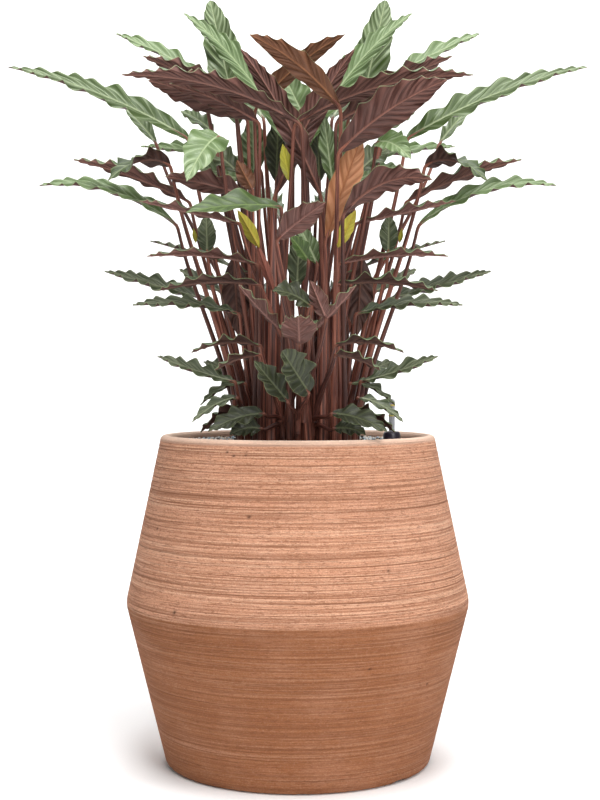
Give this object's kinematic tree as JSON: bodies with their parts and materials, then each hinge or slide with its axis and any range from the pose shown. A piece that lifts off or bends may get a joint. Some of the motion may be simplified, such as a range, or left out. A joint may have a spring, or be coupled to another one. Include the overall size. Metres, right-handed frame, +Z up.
{
  "type": "potted calathea",
  "caption": "Calathea with ruffled lance-shaped leaves, green above and maroon beneath, in a round double-cone planter with soil, granulate and a water gauge.",
  "frame": {"origin": "centre of the pot's flat underside, on the surface it stands on", "axes": "+Z up along the pot's axis, -Y towards the front of the plant, +X to its right as seen from the front, where the water gauge stands"},
  "size_m": [0.7168, 0.5209, 0.9751],
  "materials": {
    "terracotta": "matt, combed",
    "potting_soil": "loose, matt",
    "granulate": "loose, matt",
    "gauge_black": "satin",
    "gauge_clear": "clear",
    "gauge_yellow": "satin",
    "leaf_green": "leaf, satin",
    "leaf_maroon": "leaf underside, satin"
  },
  "bodies": {
    "root": {"gauge_pin": "gauge_yellow", "gauge_sleeve": "gauge_black", "gauge_tube": "gauge_clear", "granulate": "granulate", "leaf_centre_front_fan": "leaf_maroon", "leaf_centre_front_mauve": "leaf_maroon", "leaf_centre_inner_green": "leaf_green", "leaf_left_back_high": "leaf_green", "leaf_left_back_wide": "leaf_maroon", "leaf_left_base_green": "leaf_green", "leaf_left_behind_green": "leaf_green", "leaf_left_broad_dark": "leaf_maroon", "leaf_left_curly_dark": "leaf_maroon", "leaf_left_drooping": "leaf_green", "leaf_left_edge_dark": "leaf_maroon", "leaf_left_front_green": "leaf_green", "leaf_left_left_green": "leaf_green", "leaf_left_long_dark": "leaf_maroon", "leaf_left_long_green": "leaf_green", "leaf_left_low_dark": "leaf_maroon", "leaf_left_low_green": "leaf_green", "leaf_left_mid_green": "leaf_green", "leaf_left_narrow_green": "leaf_green", "leaf_left_scallop_dark": "leaf_maroon", "leaf_left_tall_dark": "leaf_maroon", "leaf_left_tall_narrow": "leaf_green", "leaf_left_tall_oval": "leaf_green", "leaf_left_thin_dark": "leaf_maroon", "leaf_left_tooth_dark": "leaf_maroon", "leaf_left_top_brown_back": "leaf_maroon", "leaf_left_upper_dark": "leaf_maroon", "leaf_left_upper_green": "leaf_green", "leaf_right_arched_dark": "leaf_maroon", "leaf_right_back_high": "leaf_green", "leaf_right_back_wide": "leaf_maroon", "leaf_right_base_green": "leaf_green", "leaf_right_behind_green": "leaf_green", "leaf_right_broad_dark": "leaf_maroon", "leaf_right_curly_dark": "leaf_maroon", "leaf_right_edge_dark": "leaf_maroon", "leaf_right_great_dark": "leaf_maroon", "leaf_right_left_green": "leaf_green", "leaf_right_long_dark": "leaf_maroon", "leaf_right_long_green": "leaf_green", "leaf_right_low_dark": "leaf_maroon", "leaf_right_low_green": "leaf_green", "leaf_right_mid_green": "leaf_green", "leaf_right_narrow_green": "leaf_green", "leaf_right_scallop_dark": "leaf_maroon", "leaf_right_tall_dark": "leaf_maroon", "leaf_right_tall_narrow": "leaf_green", "leaf_right_tall_oval": "leaf_green", "leaf_right_thin_dark": "leaf_maroon", "leaf_right_tooth_dark": "leaf_maroon", "leaf_right_top_brown": "leaf_maroon", "leaf_right_upper_dark": "leaf_maroon", "leaf_right_upper_green": "leaf_green", "leaf_right_young_brown": "leaf_maroon", "pot": "terracotta", "soil": "potting_soil"}
  },
  "joints": []
}
